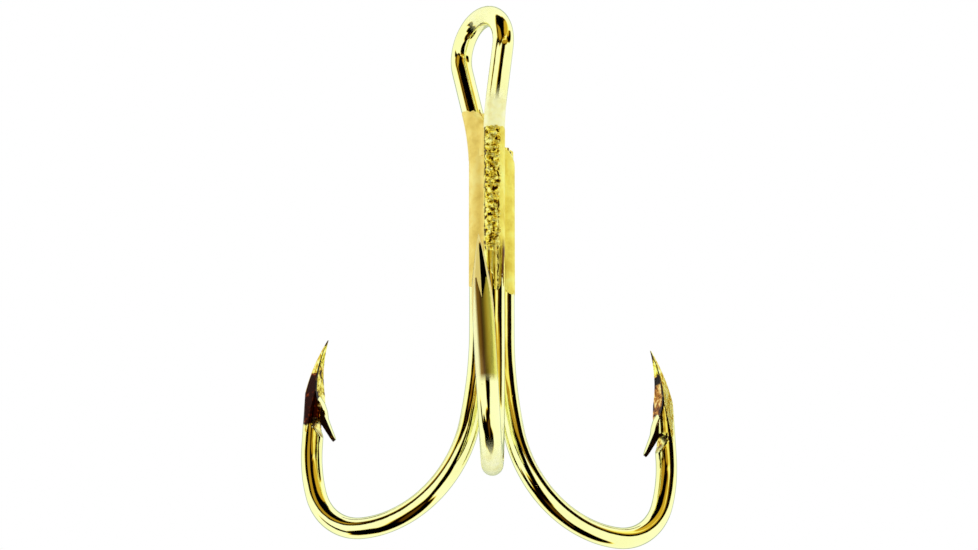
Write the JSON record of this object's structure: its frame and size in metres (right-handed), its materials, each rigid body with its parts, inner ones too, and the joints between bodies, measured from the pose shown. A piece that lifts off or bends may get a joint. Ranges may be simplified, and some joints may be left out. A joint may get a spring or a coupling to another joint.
{
  "type": "treble hook",
  "caption": "Brazed treble fishing hook: a double hook with a closed eye and a single hook, barbed points facing three ways, gold plated.",
  "frame": {"origin": "centre of the eye's round top, where the line or split ring pulls", "axes": "+Z along the shanks towards the eye, -Y the way the front hook faces, +X to the right of someone facing that hook"},
  "size_m": [0.0247, 0.0216, 0.0363],
  "materials": {
    "gold_wire": "bright gold plate on steel wire",
    "gold_braze": "rough braze metal under gold plate"
  },
  "bodies": {
    "root": {"double_hook_wire": "gold_wire", "single_hook_wire": "gold_wire", "braze_crotch": "gold_braze", "braze_seam_left": "gold_braze", "braze_seam_right": "gold_braze", "braze_seam_rear": "gold_braze", "braze_core": "gold_braze"}
  },
  "joints": []
}
